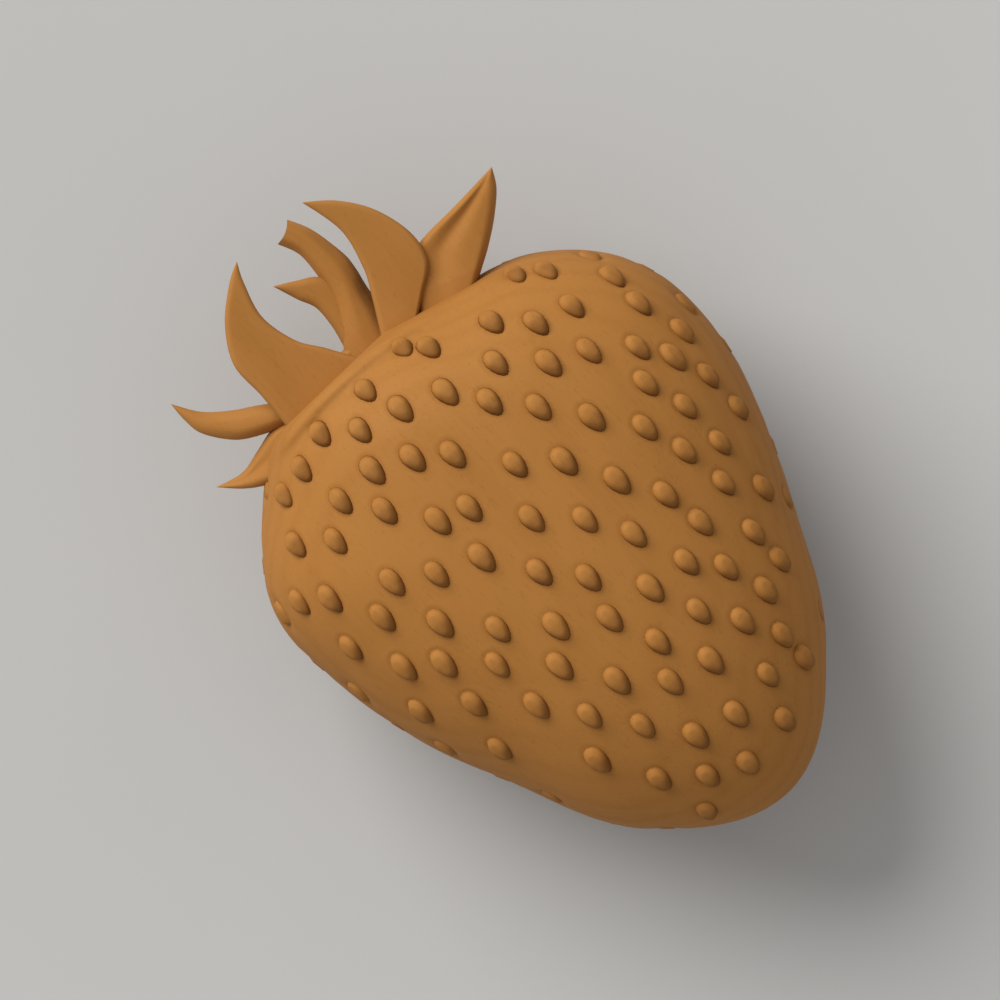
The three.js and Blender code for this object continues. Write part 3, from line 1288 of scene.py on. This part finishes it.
@dataclass
class Hub:
    """The oval button that the sepals and the stem grow from, with soft ridges.

    Each ring of the profile is its distance out from the fruit's seat, its half width, its half
    height and the place of its middle along Y, in millimetres.
    """

    middle: float
    seat: float
    sides: int = 96
    ridges: int = 14
    ridge: float = 0.02
    profile: tuple[tuple[float, ...], ...] = (
        (-0.3, 5.6, 1.7, -1.5),
        (0.3, 6.3, 2.2, -1.5),
        (0.7, 6.3, 2.3, -1.5),
        (1.0, 5.7, 2.1, -1.3),
        (1.2, 4.0, 1.6, -0.8),
        (1.3, 1.6, 0.9, 0.0),
    )
    layers: int = 24

    SHARP = 60.0

    def rings(self) -> Array:
        """Smooths the profile and turns it into rings of points.

        Returns:
            One ring for each layer, from the fruit's seat outwards.
        """
        knots = np.array(self.profile)
        at = np.linspace(0, len(knots) - 1, self.layers)
        padded = np.concatenate([knots[:1], knots, knots[-1:], knots[-1:]])
        first = np.minimum(at.astype(int), len(knots) - 2)
        neighbours = (padded[first + step] for step in range(4))
        out, wide, tall, y = (along_curve(*neighbours, (at - first)[:, None]) * MM).T[..., None]
        turn = np.arange(self.sides) / self.sides * math.tau
        ridged = 1 + self.ridge * np.cos(self.ridges * turn) * (wide - wide[-1]) / wide[0]
        x = np.broadcast_to(self.seat - out, (self.layers, self.sides))
        across = y + wide * ridged * np.cos(turn)
        return np.stack([x, across, self.middle + tall * ridged * np.sin(turn)], axis=-1)

    def build(self, material: Material) -> Piece:
        """Makes the hub from ovals that shrink from the fruit's seat to the stem.

        Args:
            material: The hub's finish.

        Returns:
            The finished object.
        """
        rings = self.rings()
        points, faces = close_rings(rings, list(rings[[0, -1]].mean(axis=1, keepdims=True)))
        return carve("calyx_button", points, faces, self.SHARP, material)


@dataclass
class Calyx:
    """The crown: a hub, five sepals in sight, three behind them, and the stem with its bract."""

    middle: float
    seat: float
    finish: WoodFinish
    far_narrow: float = 0.8
    far_reach: float = 0.92
    far_point: float = 0.98

    def front_sepals(self) -> tuple[Limb, ...]:
        """Lists the sepals seen from above.

        Returns:
            The limbs, anticlockwise round the calyx.
        """
        return (
            Limb(
                "sepal_upper",
                left=Edge(((-18.9, 5.4), (-21.1, 6.9), (-21.7, 9.2), (-21.8, 13.0), (-22.0, 17.1))),
                right=Edge(((-16.8, 11.1), (-17.6, 12.5), (-18.9, 14.4), (-20.5, 16.2), (-22.0, 17.1))),
                lift=(2.5, 4.4), thickness=(3.4, 1.1), rim=0.75, crease=0.4, crease_at=-0.2, roll=0.1,
                root=2.4,
            ),
            Limb(
                "sepal_front_right",
                left=Edge(((-18.7, 1.6), (-21.0, 2.95), (-23.2, 4.1), (-26.6, 4.9), (-30.4, 4.2))),
                right=Edge((
                    (-18.7, 6.4), (-20.2, 8.3), (-22.8, 8.8), (-26.0, 8.0), (-28.6, 6.3), (-30.4, 4.2),
                )),
                lift=(4.0, 5.4), root=2.2,
            ),
            Limb(
                "sepal_front_left",
                left=Edge((
                    (-18.8, -9.0), (-21.6, -8.8), (-24.8, -8.7), (-27.6, -7.0), (-29.7, -4.5), (-30.6, -2.8),
                )),
                right=Edge((
                    (-18.7, -1.3), (-20.8, -2.5), (-22.9, -3.8), (-26.0, -4.4), (-28.9, -3.6), (-30.6, -2.8),
                )),
                lift=(4.0, 5.2),
            ),
            Limb(
                "sepal_lower_left",
                left=Edge(((-18.9, -10.2), (-20.3, -12.6), (-22.6, -14.3), (-24.4, -14.6), (-26.1, -14.5))),
                right=Edge(((-20.4, -8.4), (-21.3, -9.7), (-22.4, -11.4), (-24.0, -13.2), (-26.1, -14.5))),
                lift=(1.7, 1.0), thickness=(2.8, 0.6), rim=0.9, crown=0.3, root=4.0,
            ),
            Limb(
                "sepal_lower",
                left=Edge(((-15.2, -11.0), (-16.1, -13.4), (-17.2, -15.0), (-18.8, -16.5))),
                right=Edge(((-18.9, -9.2), (-19.0, -10.4), (-18.6, -12.1), (-18.2, -14.2), (-18.8, -16.5))),
                lift=(1.4, -0.8), thickness=(3.4, 0.5), rim=0.7, crease=0.2, crease_at=0.1, roll=-0.2,
                root=2.4,
            ),
        )

    def far_sepals(self) -> tuple[Limb, ...]:
        """Lists the sepals on the far side, each a little narrower than the one that it follows.

        Returns:
            The limbs.
        """
        fronts = {limb.node: limb for limb in self.front_sepals()}
        far = (
            ("sepal_back_upper", fronts["sepal_upper"], (-1.6, -5.4)),
            ("sepal_back_right", fronts["sepal_front_right"], (-4.0, -8.8)),
            ("sepal_back_left", fronts["sepal_front_left"], (-4.0, -8.4)),
        )
        shape = {"narrow": self.far_narrow, "point": self.far_point, "reach": self.far_reach}
        return tuple(Limb(node, near.left, near.right, lift, **shape) for node, near, lift in far)

    def stem_limbs(self) -> tuple[Limb, ...]:
        """Lists the cut stem and its bract.

        Returns:
            The limbs.
        """
        return (
            Limb(
                "stem",
                left=Edge((
                    (-20.0, -1.3), (-22.0, 0.1), (-23.6, 0.8), (-25.4, 1.1), (-27.6, 1.2), (-29.4, 0.5),
                )),
                right=Edge((
                    (-20.0, 3.0), (-22.0, 3.3), (-23.8, 3.7), (-25.4, 3.8), (-28.3, 3.3), (-30.3, 2.4),
                )),
                lift=(1.2, 1.6), thickness=(3.0, 2.2), rim=9.0, crown=0.0, flutes=0.02, dish=0.35,
                bite=0.25, fold_shade=1.0, reach=1.0, root=2.0, section=Section(flat_points=1, rim_points=9),
            ),
            Limb(
                "stem_bract",
                left=Edge(((-20.0, -1.3), (-21.7, -0.9), (-23.6, -0.8), (-25.1, -1.4), (-27.2, -2.1))),
                right=Edge(((-20.4, 0.8), (-23.4, 1.6), (-25.2, 1.1), (-26.3, -0.5), (-27.2, -2.1))),
                lift=(1.2, 2.2), thickness=(1.9, 0.6), rim=0.7,
            ),
        )

    def build(self) -> None:
        """Makes every piece of the crown and ties it to the frame."""
        material = self.finish.material()
        settle(Hub(self.middle, self.seat).build(material), Slot.CALYX, "calyx_hub")
        for limb in (*self.front_sepals(), *self.far_sepals(), *self.stem_limbs()):
            settle(limb.build(self.middle, material), Slot.CALYX, limb.node)


# Studio


@dataclass
class Studio:
    """A pale floor, soft light from the calyx's side, and a camera that looks straight down.

    The lamp is large, far and soft. It stands over a direction and leans off the vertical.
    Angles are in degrees.
    """

    middle: float
    view_centre: Pair = (-2.35 * MM, -0.8 * MM)
    view_width: float = 80 * MM
    roll: float = 46.25
    lens: float = 600.0
    sensor: float = 36.0
    floor_size: float = 20.0
    floor_tones: tuple[Colour, Colour] = ((0.455, 0.452, 0.446, 1.0), (0.475, 0.472, 0.466, 1.0))
    floor_noise: Pair = (30.0, 3.0)
    floor_roughness: float = 0.9
    floor_shine: float = 0.2
    sky: float = 0.51
    sky_colour: Colour = (1.0, 0.99, 0.98, 1.0)
    lamp_power: float = 3.3
    lamp_colour: Triple = (1.0, 0.99, 0.97)
    lamp_softness: float = 45.0
    lamp_lean: float = 54.0
    lamp_towards: float = 185.0

    def floor(self) -> None:
        """Lays the floor, in one pale, faintly mottled finish."""
        half = self.floor_size / 2
        corners = [(-half, -half, 0), (half, -half, 0), (half, half, 0), (-half, half, 0)]
        mesh = bpy.data.meshes.new("floor")
        mesh.from_pydata(corners, [], [(0, 1, 2, 3)])
        material = bpy.data.materials.new("floor_card")
        material.use_nodes = True
        board = NodeBoard(material.node_tree)
        shader = material.node_tree.nodes["Principled BSDF"]
        place = board.add("ShaderNodeTexCoord").outputs["Object"]
        tone = board.blend(board.noise(place, *self.floor_noise), *self.floor_tones)
        board.feed(shader.inputs["Base Color"], tone)
        shader.inputs["Roughness"].default_value = self.floor_roughness
        shader.inputs["Specular IOR Level"].default_value = self.floor_shine
        mesh.materials.append(material)
        show("floor", mesh)

    def light(self) -> None:
        """Sets up the sky and the lamp, and keeps tones as they are lit."""
        scene = bpy.context.scene
        scene.world = bpy.data.worlds.new("studio")
        scene.world.use_nodes = True
        background = scene.world.node_tree.nodes["Background"]
        background.inputs["Color"].default_value = self.sky_colour
        background.inputs["Strength"].default_value = self.sky
        scene.view_settings.view_transform = "Standard"
        light = bpy.data.lights.new("key", "SUN")
        light.energy = self.lamp_power
        light.angle = math.radians(self.lamp_softness)
        light.color = self.lamp_colour
        lamp = show("key", light)
        lamp.rotation_euler = (0.0, math.radians(self.lamp_lean), math.radians(self.lamp_towards))

    def camera(self) -> None:
        """Hangs the camera over the carving, turned so that the calyx points to the upper left."""
        data = bpy.data.cameras.new("camera")
        data.lens = self.lens
        data.sensor_width = self.sensor
        camera = show("camera", data)
        camera.location = (*self.view_centre, self.middle + self.view_width * self.lens / self.sensor)
        camera.rotation_euler = (0.0, 0.0, math.radians(self.roll))
        bpy.context.scene.camera = camera

    def build(self) -> None:
        """Makes the whole studio."""
        self.floor()
        self.light()
        self.camera()


def main() -> None:
    """Builds the strawberry and its studio, piece by piece."""
    logging.basicConfig(level=logging.INFO, format="%(name)s: %(message)s")
    Grain().build()
    ShadeAndWear().build()
    form = FruitForm()
    seeds = Seeds(SeedPlaces(form), SEED_FINISH).build()
    fruit = Fruit(form, Shoulder(), FRUIT_FINISH).build(seeds)
    settle(fruit, Slot.FRUIT, "fruit")
    settle(seeds, Slot.FRUIT)
    Calyx(form.middle, form.seat, CALYX_FINISH).build()
    Studio(form.middle).build()


if __name__ == "__main__":
    main()
